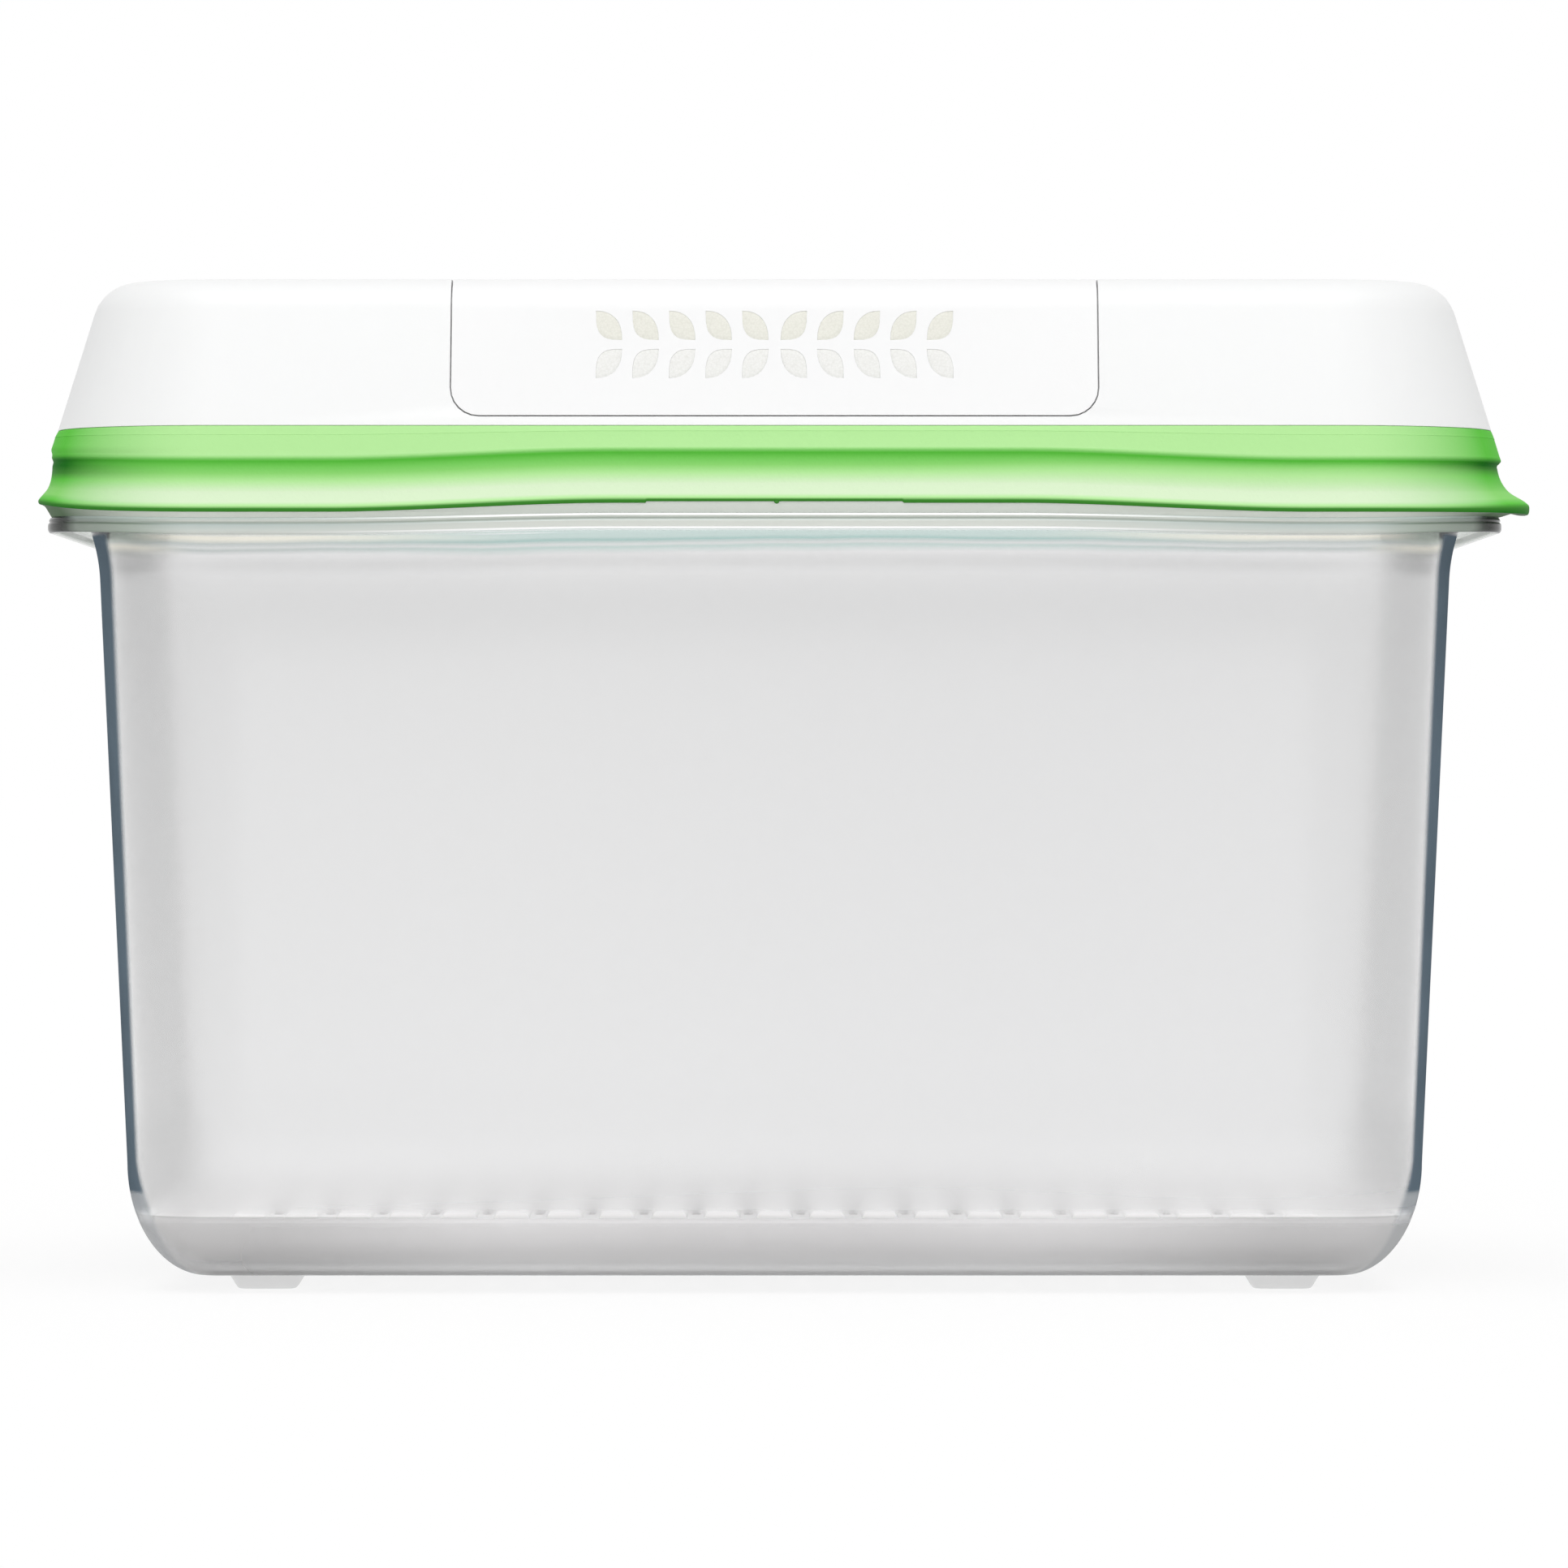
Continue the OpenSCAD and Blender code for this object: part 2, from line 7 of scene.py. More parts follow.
import bmesh
import bpy
import numpy as np
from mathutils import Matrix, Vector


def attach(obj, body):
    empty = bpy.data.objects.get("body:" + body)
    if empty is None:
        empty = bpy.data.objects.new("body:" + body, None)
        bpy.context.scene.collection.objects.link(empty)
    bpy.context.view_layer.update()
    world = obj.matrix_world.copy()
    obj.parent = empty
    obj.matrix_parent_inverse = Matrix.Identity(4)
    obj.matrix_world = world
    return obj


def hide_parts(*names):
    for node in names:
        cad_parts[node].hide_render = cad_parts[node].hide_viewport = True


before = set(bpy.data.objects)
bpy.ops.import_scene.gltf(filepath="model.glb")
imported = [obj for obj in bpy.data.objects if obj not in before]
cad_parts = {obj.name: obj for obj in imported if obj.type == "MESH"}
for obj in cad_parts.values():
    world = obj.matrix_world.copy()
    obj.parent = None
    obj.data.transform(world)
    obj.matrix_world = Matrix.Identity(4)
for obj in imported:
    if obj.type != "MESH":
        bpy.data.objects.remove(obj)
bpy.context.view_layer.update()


# ---- Studio ------------------------------------------------------------------------------------
# A level camera straight in front of the keeper, with a long lens. The room is white all round for
# the camera and for what the clear plastic shows or mirrors, and plainly lit for everything else.
camera = bpy.data.objects.new("camera", bpy.data.cameras.new("camera"))
camera.data.lens = 204.2
camera.data.sensor_width = 36
camera.location = (0.00172, -1.700, 0.0934)
camera.rotation_euler = (math.radians(90), 0, 0)
bpy.context.scene.collection.objects.link(camera)
bpy.context.scene.camera = camera
bpy.context.scene.view_settings.view_transform = "Standard"
# Light that has crossed eight faces of the clear plastic adds little, and is left out
cycles = bpy.context.scene.cycles
cycles.max_bounces = cycles.transmission_bounces = 8
cycles.use_light_tree = False


def node(tree, kind, settings=None, **inputs):
    """Adds a shader node. An input is a socket to link or a value to set. It is given by its name, with
    _ for a space, or by its place, as in0, in1 and so on."""
    made = tree.nodes.new(kind)
    for name, value in (settings or {}).items():
        setattr(made, name, value)
    for name, value in inputs.items():
        by_place = name.startswith("in") and name[2:].isdigit()
        socket = made.inputs[int(name[2:]) if by_place else name.replace("_", " ")]
        if isinstance(value, bpy.types.NodeSocket):
            tree.links.new(value, socket)
        else:
            socket.default_value = value
    return made


def worked(tree, operation, *values):
    """The result of a Math node over one to three sockets or numbers."""
    given = {f"in{place}": value for place, value in enumerate(values)}
    return node(tree, "ShaderNodeMath", {"operation": operation}, **given).outputs[0]


def between(tree, value, low, high, start=0.0, end=1.0, curve="LINEAR"):
    """Start where the value is at low or before it, end from high on, and a change between them."""
    return node(tree, "ShaderNodeMapRange", {"interpolation_type": curve}, Value=value,
                in1=low, in2=high, in3=start, in4=end).outputs[0]


def empty_finish(name):
    """A material with no nodes yet, and its tree."""
    finish = bpy.data.materials.new(name)
    finish.use_nodes = True
    finish.node_tree.nodes.clear()
    return finish, finish.node_tree


def shown_ray(tree):
    """1 for a ray from the camera, a mirror or clear plastic, which see the white room, and else 0."""
    path = node(tree, "ShaderNodeLightPath")
    direct = worked(tree, "MAXIMUM", path.outputs["Is Camera Ray"], path.outputs["Is Glossy Ray"])
    return worked(tree, "MAXIMUM", direct, path.outputs["Is Transmission Ray"])


room_light, side_light = 0.58, 0.44
world = bpy.data.worlds.new("white room")
bpy.context.scene.world = world
world.use_nodes = True
tree = world.node_tree
tree.nodes.clear()
way = node(tree, "ShaderNodeSeparateXYZ", Vector=node(tree, "ShaderNodeTexCoord").outputs["Generated"])
aside = worked(tree, "ABSOLUTE", way.outputs[0])
dimmed = between(tree, aside, 0.35, 0.95, room_light, side_light, "SMOOTHSTEP")
lit = node(tree, "ShaderNodeBackground", Color=(1, 1, 1, 1), Strength=dimmed)
seen = node(tree, "ShaderNodeBackground", Color=(1, 1, 1, 1), Strength=1.0)
either = node(tree, "ShaderNodeMixShader", in0=shown_ray(tree), in1=lit.outputs[0], in2=seen.outputs[0])
node(tree, "ShaderNodeOutputWorld", Surface=either.outputs[0])

for name, strength, softness, toward in [
    ("overhead softbox", 0.82, 50, (0.0, 0.30, -1.0)),
    ("overhead strip", 0.26, 14, (0.02, 0.55, -1.0)),
    ("front softbox", 0.75, 60, (-0.05, 1.0, -0.35)),
]:
    lamp = bpy.data.objects.new(name, bpy.data.lights.new(name, "SUN"))
    lamp.data.energy = strength
    lamp.data.angle = math.radians(softness)
    lamp.rotation_euler = Vector(toward).to_track_quat("-Z", "Y").to_euler()
    bpy.context.scene.collection.objects.link(lamp)

floor_glow, floor_shade = 0.84, 0.17
floor = bpy.data.objects.new("floor", bpy.data.meshes.new("floor"))
floor.data.from_pydata([(-30, -10, -2e-4), (30, -10, -2e-4), (30, 60, -2e-4), (-30, 60, -2e-4)],
                       [], [(0, 1, 2, 3)])
bpy.context.scene.collection.objects.link(floor)
finish, tree = empty_finish("white floor")
plain = node(tree, "ShaderNodeBsdfDiffuse", Color=(0.8, 0.8, 0.8, 1))
shade = node(tree, "ShaderNodeBsdfDiffuse", Color=(floor_shade, floor_shade, floor_shade, 1))
glow = node(tree, "ShaderNodeEmission", Color=(1, 1, 1, 1), Strength=floor_glow)
shown = node(tree, "ShaderNodeAddShader", in0=shade.outputs[0], in1=glow.outputs[0])
either = node(tree, "ShaderNodeMixShader", in0=shown_ray(tree), in1=plain.outputs[0], in2=shown.outputs[0])
node(tree, "ShaderNodeOutputMaterial", Surface=either.outputs[0])
floor.data.materials.append(finish)


# ---- Tub ---------------------------------------------------------------------------------------
# One injection moulding in clear plastic: a floor on four low feet, a rounded base, drafted walls
# that flare at the top, a rim with a channel under it, and an upright lip that goes into the lid.
# The rim's long sides sag a little towards their ends, as they do on the real one.
corner_x, corner_y = 102.1, 57.6  # centres of the plan's corners
foot_top, floor_top = 2.8, 5.0
round_top, round_w, round_h = 23.6, 14.5, 20.8
wall, draft = 2.2, math.tan(math.radians(2.67))
flare_low, rim_low, channel_top, shoulder, lip_top = 131.0, 139.6, 141.0, 142.6, 149.3
flare_u, flare_out, rim_u, rim_t = 24.0, 1.2, 32.0, 1.8
lip_u, lip_t = 26.5, 2.2
rim_sag, sag_low, sag_high = 0.85, 112.0, 138.0
foot_x, foot_y = 94.0, 49.5
wall_tints = [  # height, and how much light one wall lets through there
    (0.0, 0.985), (15.0, 0.965), (22.0, 0.925), (30.0, 0.885), (127.0, 0.85), (133.5, 0.87), (139.6, 0.985),
]
# Painted light on the neck and the rim: the colours of painted reflections, highlights and shade that stand
# in for what the thick plastic shows there, and the heights of their bands. A point of the rounded base
# counts as past the lip, so it takes the last band, which darkens it towards the ends as a painted shade.
white_line, mist, stone, smoke = (1.0, 1.0, 1.0), (0.75, 0.80, 0.78), (0.60, 0.62, 0.58), (0.50, 0.50, 0.50)
pale_teal, teal, cream = (0.45, 0.65, 0.60), (0.25, 0.50, 0.45), (1.0, 0.95, 0.75)
blue_grey, dusk, bottle = (0.45, 0.52, 0.50), (0.35, 0.40, 0.35), (0.15, 0.20, 0.15)
painted_light_low, painted_light_high = 132.0, 144.0
painted_light_middle = [  # in the middle of a side: two teal bands under the rim, and three bright lines on it
    (135.6, white_line), (136.9, pale_teal), (137.4, mist), (138.2, teal), (138.8, pale_teal),
    (139.5, pale_teal), (139.8, white_line), (139.95, white_line), (140.15, stone), (141.1, stone),
    (141.3, mist), (141.6, dusk), (142.1, stone), (142.2, white_line), (142.5, white_line),
]
painted_light_ends = [  # towards its ends: cream over two thin lines of blue grey, and no bright lines
    (136.0, white_line), (136.9, blue_grey), (137.4, mist), (138.1, blue_grey), (138.9, cream),
    (139.3, cream), (139.6, stone), (141.3, blue_grey), (141.6, dusk), (141.9, stone), (142.5, blue_grey),
    (143.0, smoke),
]
painted_light_corners = [  # and on the corners: dark over cream
    (134.6, white_line), (135.8, stone), (137.0, cream), (137.8, dusk), (138.6, bottle), (139.5, bottle),
    (139.9, dusk), (141.0, dusk), (141.3, bottle), (141.5, dusk), (142.5, blue_grey), (143.0, smoke),
]
hazes = [  # height, and how much a wall blurs there: hardly at the tray's edge and on the rim
    (0.0, 0.28), (12.6, 0.28), (13.2, 0.05), (14.9, 0.05), (15.6, 0.28), (26.0, 0.22), (36.0, 0.15),
    (136.8, 0.14), (138.2, 0.05), (139.4, 0.02),
]
# The painted shade on the edges of the walls: how much of it there is at each height, and its colour
painted_edge_shade_shares = [  # height, and how dark the edges of the walls show there
    (0.0, 0.2), (14.0, 0.22), (14.8, 0.5), (18.0, 0.55), (18.7, 1.0), (139.2, 1.0), (139.5, 0.0),
]
painted_edge_shade = (0.135, 0.18, 0.22)


def ease(t):
    """Smooth step: 3 t squared minus 2 t cubed, held at 0 and 1 outside."""
    t = np.clip(t, 0, 1)
    return t * t * (3 - 2 * t)


def oval(u, z, w, h, start, end, count):
    """Points of an ellipse with half axes w and h about (u, z), between two angles in degrees."""
    a = np.radians(np.linspace(start, end, count))
    return np.stack([u + w * np.cos(a), z + h * np.sin(a)], 1)


def softened(points, reach, count=4):
    """A line of points whose inner corners are rounded: each becomes the quadratic curve
    (1-t)^2 A + 2t(1-t) C + t^2 B, where A and B lie up to reach before and after the corner C."""
    points = np.asarray(points, float)
    before, corner, after = points[:-2], points[1:-1], points[2:]
    t = np.linspace(0, 1, count)[None, :, None]

    def leg(other):
        way = other - corner
        length = np.linalg.norm(way, axis=1, keepdims=True)
        return corner + way / length * np.minimum(reach, 0.45 * length)

    a, b = leg(before)[:, None], leg(after)[:, None]
    curve = (1 - t) ** 2 * a + 2 * t * (1 - t) * corner[:, None] + t ** 2 * b
    return np.concatenate([points[:1], curve.reshape(-1, 2), points[-1:]])


def stops(half_x, half_y, turn, long_at, short_at):
    """Where a section is set round a rounded rectangle, against the clock from the right side's back
    corner: the centre it turns about, and its outward direction. A corner turns the direction by 90
    degrees about its centre, and a straight side moves the centre by the shares that are given."""
    corners = np.array([[1, 1], [-1, 1], [-1, -1], [1, -1]]) * (half_x, half_y)
    centres, turns = [], []
    for quarter in range(4):
        here, there = corners[quarter], corners[(quarter + 1) % 4]
        along = np.asarray(short_at if quarter % 2 else long_at)[:, None]
        centres += [np.repeat(here[None], turn, 0), here + (there - here) * along]
        turns += [90 * quarter + np.linspace(0, 90, turn, endpoint=False),
                  np.full(len(along), 90.0 * (quarter + 1))]
    return np.concatenate(centres), np.radians(np.concatenate(turns))


def carried(u, z, centres, turns):
    """The section (u, z) at every stop: x and y are the centre plus u along the outward direction."""
    x = centres[:, :1] + u * np.cos(turns)[:, None]
    y = centres[:, 1:] + u * np.sin(turns)[:, None]
    return np.stack([x, y, np.broadcast_to(z, x.shape)], -1)


def ring_faces(rings, count, closed):
    """Quads between neighbouring sections of a closed ring, each from a stop to the next and then on
    along the section, so that they face outwards where the section runs against the clock."""
    k = np.arange(rings)[:, None]
    j = np.arange(count if closed else count - 1)[None]
    next_k, next_j = (k + 1) % rings, (j + 1) % count
    return np.stack([k * count + j, next_k * count + j, next_k * count + next_j,
                     k * count + next_j], -1).reshape(-1, 4)


def moulding(name, shells, flats=(), sharp=32):
    """One piece out of shells of (points in millimetres, faces). Points that meet are merged, rims
    left open at a height in flats are filled flat between them, and faces turn sharp past an angle."""
    form = bmesh.new()
    for points, faces in shells:
        scratch = bpy.data.meshes.new("scratch")
        scratch.from_pydata((points.reshape(-1, 3) * 0.001).tolist(), [], faces.tolist())
        form.from_mesh(scratch)
        bpy.data.meshes.remove(scratch)
    bmesh.ops.remove_doubles(form, verts=form.verts, dist=2e-6)
    for height in flats:
        rims = [e for e in form.edges if e.is_boundary
                and all(abs(v.co.z * 1000 - height) < 0.01 for v in e.verts)]
        bmesh.ops.triangle_fill(form, edges=rims, use_beauty=True, use_dissolve=False)
    bmesh.ops.recalc_face_normals(form, faces=form.faces)
    mesh = bpy.data.meshes.new(name)
    form.to_mesh(mesh)
    form.free()
    mesh.shade_smooth()
    mesh.set_sharp_from_angle(angle=math.radians(sharp))
    piece = bpy.data.objects.new(name, mesh)
    bpy.context.scene.collection.objects.link(piece)
    return piece


def wall_u(z):
    """Offset of the drafted outer face at height z, without the flare."""
    return flare_u - flare_out - (rim_low - z) * draft


def up(offset_at, low, high, count):
    """Points of a wall whose offset is a function of its height, between two heights."""
    z = np.linspace(low, high, count)
    return np.stack([offset_at(z), z], 1)


def wave_share(x):
    """How much of the long sides' bow shows at x: 1 in the middle, 0 near the ends."""
    return ease(np.where(x < 0, 82 + x, 97 - x) / 53)


def colour_stops(tree, value, given):
    """A colour ramp over the value, through the given (place, colour) stops."""
    ramp = node(tree, "ShaderNodeValToRGB", Fac=value)
    while len(ramp.color_ramp.elements) < len(given):
        ramp.color_ramp.elements.new(1.0)
    for element, (place, colour) in zip(ramp.color_ramp.elements, given):
        element.position, element.color = place, (*colour, 1)
    return ramp.outputs[0]


base_u = wall_u(round_top) - round_w
lip_in = lip_u - lip_t - (wall_u(shoulder) - wall)
outside = np.concatenate([
    [[0, foot_top]],
    oval(base_u, round_top, round_w, round_h, -90, 0, 26),
    up(wall_u, round_top + 4, flare_low, 8),
    up(lambda z: wall_u(z) + flare_out * ((z - flare_low) / (rim_low - flare_low)) ** 2,
       flare_low + 0.6, rim_low, 12),
])
rim = softened([
    [flare_u, rim_low], [flare_u + 0.6, channel_top], [rim_u - rim_t, channel_top],
    [rim_u - rim_t, rim_low + 0.1], [rim_u - 1.25, rim_low], [rim_u - 0.35, rim_low],
    [rim_u, rim_low + 0.5], [rim_u, shoulder - 1.3], [rim_u - 0.3, shoulder - 1.1],
], 0.32)
crown = softened([
    [rim_u - 0.3, shoulder - 0.9], [rim_u - 0.15, shoulder - 0.75], [rim_u - 0.4, shoulder - 0.2],
    [rim_u - 1.1, shoulder], [lip_u + 0.5, shoulder], [lip_u, shoulder + 0.5],
    [lip_u, lip_top - lip_t / 2],
], 0.3)
inside = np.concatenate([
    oval(lip_u - lip_t / 2, lip_top - lip_t / 2, lip_t / 2, lip_t / 2, 15, 180, 10),
    up(lambda z: wall_u(z) - wall + lip_in * np.clip((z - flare_low) / (shoulder - flare_low), 0, 1) ** 3,
       flare_low, shoulder, 14)[::-1],
    up(lambda z: wall_u(z) - wall, round_top + 4, flare_low - 6, 8)[::-1],
    oval(base_u, round_top, round_w - wall, round_h - (floor_top - foot_top), 0, -90, 26),
    [[0, floor_top]],
])
section = np.concatenate([outside, rim, crown, inside])
even = np.linspace(0, 1, 48, endpoint=False)
centres, turns = stops(corner_x, corner_y, 22, even, np.linspace(0, 1, 16, endpoint=False))
points = carried(section[None, :, 0], section[None, :, 1], centres, turns)
facing_front = np.abs(np.sin(turns)) ** 3
sag = rim_sag * (1 - wave_share(centres[:, 0])) * facing_front
points[..., 2] -= sag[:, None] * ease((section[:, 1] - sag_low) / (sag_high - sag_low))[None]
shells = [(points, ring_faces(len(turns), len(section), closed=False))]

foot_half, foot_r, foot_spread = 2.75, 2.6, 1.75
foot_section = softened([[0, 0], [foot_r, 0], [foot_r + foot_spread, foot_top]], 0.5, 5)
for side_x in (-1, 1):
    for side_y in (-1, 1):
        centres, turns = stops(foot_half, foot_half, 8, [0, 0.5], [0, 0.5])
        foot = carried(foot_section[None, :, 0], foot_section[None, :, 1], centres, turns)
        foot[..., :2] += (foot_x * side_x, foot_y * side_y)
        shells.append((foot, ring_faces(len(turns), len(foot_section), closed=False)))
tub = moulding("tub_clear_moulding", shells, flats=(0.0, foot_top, floor_top), sharp=50)

# For the colour of the rim: the height up the outside without the sag, and then down the inside
place = np.empty(len(tub.data.vertices) * 3, np.float32)
tub.data.vertices.foreach_get("co", place)
x, y, z = place.reshape(-1, 3).T * 1000
from_centre = np.hypot(np.clip(abs(x) - corner_x, 0, None), np.clip(abs(y) - corner_y, 0, None))
turned = (np.clip(abs(y) - corner_y, 0, None) / np.clip(from_centre, 1e-6, None)) ** 3
sagged = rim_sag * (1 - wave_share(np.clip(x, -corner_x, corner_x))) * turned
unsagged = z + sagged * ease((z - sag_low) / (sag_high - sag_low))
climb = np.where(from_centre > wall_u(z) - wall / 2, unsagged, 2 * lip_top - unsagged)
tub.data.attributes.new("climb", "FLOAT", "POINT").data.foreach_set("value", climb.astype(np.float32))

finish, tree = empty_finish("clear plastic")


def blended(tree, share, one, other, how="MIX"):
    """One colour mixed with another, or multiplied by it, by a share."""
    return node(tree, "ShaderNodeMix", {"data_type": "RGBA", "blend_type": how},
                Factor=share, in6=one, in7=other).outputs[2]


path = node(tree, "ShaderNodeLightPath")
where = node(tree, "ShaderNodeTexCoord").outputs["Object"]
place = node(tree, "ShaderNodeSeparateXYZ", Vector=where)
along, depth = (worked(tree, "ABSOLUTE", place.outputs[axis]) for axis in (0, 1))
height = place.outputs[2]
climb = node(tree, "ShaderNodeAttribute", {"attribute_name": "climb"}).outputs["Fac"]
flow = node(tree, "ShaderNodeTexNoise", Vector=where, Scale=9.0, Detail=0.0, Roughness=0.5).outputs[0]
drawn_out = node(tree, "ShaderNodeVectorMath", {"operation": "MULTIPLY"}, in0=where, in1=(0.45, 1.0, 1.0))
wander = node(tree, "ShaderNodeTexNoise", Vector=drawn_out.outputs[0], Scale=46.0, Detail=2.0).outputs[0]

# The tint of the walls, and the painted bands of the neck and the rim, which wander up and down a little
level = between(tree, height, 0.0, 0.150)
tint, hazy, edge_share = [
    colour_stops(tree, level, [(place / 150, (amount,) * 3) for place, amount in given])
    for given in (wall_tints, hazes, painted_edge_shade_shares)]
on_neck = between(tree, climb, rim_low - 0.1, rim_low - 0.4)
strayed = worked(tree, "MULTIPLY_ADD", between(tree, wander, 0.0, 1.0, -1.3, 1.3), on_neck, climb)
painted_light_level = between(tree, strayed, painted_light_low, painted_light_high)
middle, ends, corners = [
    colour_stops(tree, painted_light_level, [((place - painted_light_low) / (painted_light_high - painted_light_low), colour)
                                     for place, colour in given])
    for given in (painted_light_middle, painted_light_ends, painted_light_corners)]
painted_light = blended(tree, between(tree, along, 0.040, 0.098, curve="SMOOTHSTEP"), middle, ends)
painted_light = blended(tree, between(tree, along, 0.105, 0.119, curve="SMOOTHSTEP"), painted_light, corners)
banded = blended(tree, path.outputs["Is Camera Ray"], tint, painted_light, "MULTIPLY")
mottled = blended(tree, flow, banded, (0.985, 0.985, 0.99, 1), "MULTIPLY")
rough = worked(tree, "MULTIPLY", hazy, between(tree, flow, 0.0, 1.0, 0.85, 1.15))
ripple = node(tree, "ShaderNodeTexNoise", Vector=where, Scale=26.0, Detail=0.0).outputs[0]
swell = worked(tree, "MULTIPLY", ripple, hazy)
wavy = node(tree, "ShaderNodeBump", Strength=0.25, Distance=0.0012, Height=swell)
clear = node(tree, "ShaderNodeBsdfPrincipled", Base_Color=mottled, Roughness=rough, IOR=1.49,
             Transmission_Weight=1.0, Normal=wavy.outputs[0])

# How far a wall turns away from the eye, leaving out how it leans
normal = node(tree, "ShaderNodeNewGeometry").outputs["Normal"]
level_normal = node(tree, "ShaderNodeVectorMath", {"operation": "MULTIPLY"}, in0=normal, in1=(1, 1, 0))
level_normal = node(tree, "ShaderNodeVectorMath", {"operation": "NORMALIZE"}, in0=level_normal.outputs[0])
facing = node(tree, "ShaderNodeLayerWeight", Blend=0.5, Normal=level_normal.outputs[0]).outputs["Facing"]

# The rim's face, thick plastic, is painted for camera rays: the bright lines above as painted highlights, a
# painted shade as it turns round the corners, and painted light along the straight ends, where it is seen
# from the side
dulled = colour_stops(tree, facing, [(place, (amount,) * 3) for place, amount in
                                     [(0.15, 1.0), (0.30, 0.80), (0.456, 0.66), (0.56, 0.15), (0.64, 0.04)]])
on_end = between(tree, depth, 0.0576, 0.0560)
painted_pale = worked(tree, "MULTIPLY", on_end, between(tree, facing, 0.84, 0.91))
lines = blended(tree, 1.0, painted_light, worked(tree, "MAXIMUM", dulled, painted_pale), "MULTIPLY")
# A faint painted glow, stronger near the shoulder, brightens the rim's painted lines
shine = between(tree, climb, shoulder - 0.5, shoulder - 0.4, 0.25, 0.45)
lined = node(tree, "ShaderNodeBsdfPrincipled", Base_Color=lines, Roughness=0.15, IOR=1.49,
             Specular_IOR_Level=0.05, Emission_Color=lines, Emission_Strength=shine)
above = between(tree, climb, rim_low - 0.05, rim_low + 0.05)
below = between(tree, climb, shoulder - 0.005, shoulder - 0.04)
on_rim = worked(tree, "MULTIPLY", worked(tree, "MULTIPLY", above, below), path.outputs["Is Camera Ray"])
rimmed = node(tree, "ShaderNodeMixShader", in0=worked(tree, "MULTIPLY", on_rim, 0.95),
              in1=clear.outputs[0], in2=lined.outputs[0])

# Where the eye looks along a wall, at the edge of a rounded corner, a dark matte shader is mixed in as a
# painted shade for how dark the clear plastic shows there
turned = worked(tree, "ADD", facing, between(tree, height, 0.015, 0.024, 0.14, 0.0))
grazing = between(tree, turned, 0.50, 0.62, curve="SMOOTHSTEP")
rounded = worked(tree, "MULTIPLY", between(tree, along, 0.1020, 0.1040, curve="SMOOTHSTEP"),
                 between(tree, depth, 0.0574, 0.0592, curve="SMOOTHSTEP"))
shared = worked(tree, "MULTIPLY", worked(tree, "MULTIPLY", grazing, rounded), edge_share)
darkness = blended(tree, wander, *[tuple(share * part for part in painted_edge_shade) + (1,) for share in (0.7, 1.3)])
dark = node(tree, "ShaderNodeBsdfDiffuse", Color=darkness)
edged = node(tree, "ShaderNodeMixShader", in0=worked(tree, "MULTIPLY", shared, path.outputs["Is Camera Ray"]),
             in1=rimmed.outputs[0], in2=dark.outputs[0])

# The solid feet mirror the bright room inside, so they are paler than the thin walls
glint = node(tree, "ShaderNodeBsdfAnisotropic", Color=(0.88, 0.88, 0.88, 1), Roughness=0.25)
footed = node(tree, "ShaderNodeMixShader", in0=between(tree, height, 0.0029, 0.0026, 0.0, 0.8),
              in1=edged.outputs[0], in2=glint.outputs[0])
lets_lamps = node(tree, "ShaderNodeBsdfTransparent", Color=(0.96, 0.96, 0.96, 1))
plastic = node(tree, "ShaderNodeMixShader", in0=path.outputs["Is Shadow Ray"],
               in1=footed.outputs[0], in2=lets_lamps.outputs[0])
node(tree, "ShaderNodeOutputMaterial", Surface=plastic.outputs[0])
tub.data.materials.append(finish)
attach(tub, "base")
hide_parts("tub")


# ---- Crisping tray -----------------------------------------------------------------------------
# One frosted moulding: a deck with 21 low ribs from front to back and drain slots between them, on a
# skirt that follows the tub's rounded base. It only rests in the tub.


def fine_grain():
    """Node group: the fine texture of a moulding tool as a bump height, and a slow drift across the
    moulding, from 0 to 1, for its colour and roughness."""
    group = bpy.data.node_groups.new("fine grain", "ShaderNodeTree")
    for name, kind, value in [("Vector", "NodeSocketVector", None), ("Grain", "NodeSocketFloat", 2600.0),
                              ("Drift", "NodeSocketFloat", 14.0)]:
        socket = group.interface.new_socket(name, in_out="INPUT", socket_type=kind)
        if value is not None:
            socket.default_value = value
    for name in ("Height", "Drift"):
        group.interface.new_socket(name, in_out="OUTPUT", socket_type="NodeSocketFloat")
    given = group.nodes.new("NodeGroupInput")
    grain = node(group, "ShaderNodeTexNoise", Vector=given.outputs[0], Scale=given.outputs[1], Detail=2.0)
    drift = node(group, "ShaderNodeTexNoise", Vector=given.outputs[0], Scale=given.outputs[2], Detail=3.0)
    out = group.nodes.new("NodeGroupOutput")
    group.links.new(grain.outputs[0], out.inputs[0])
    group.links.new(drift.outputs[0], out.inputs[1])
    return group


def joined_copy(cad_name, name, edge, sharp=30):
    """A copy of a CAD node with its triangles joined into the flat faces they came from, its curved
    faces shaded smooth, and its sharp edges broken by a rounding of that many millimetres."""
    form = bmesh.new()
    form.from_mesh(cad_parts[cad_name].data)
    bmesh.ops.remove_doubles(form, verts=form.verts, dist=2e-6)
    bmesh.ops.dissolve_limit(form, angle_limit=math.radians(0.4), verts=form.verts, edges=form.edges)
    mesh = bpy.data.meshes.new(name)
    form.to_mesh(mesh)
    form.free()
    mesh.shade_smooth()
    mesh.set_sharp_from_angle(angle=math.radians(sharp))
    piece = bpy.data.objects.new(name, mesh)
    bpy.context.scene.collection.objects.link(piece)
    rounding = piece.modifiers.new("edge rounding", "BEVEL")
    rounding.width = edge * 0.001
    rounding.segments = 2
    rounding.limit_method = "ANGLE"
    rounding.angle_limit = math.radians(sharp)
    rounding.harden_normals = True
    return piece


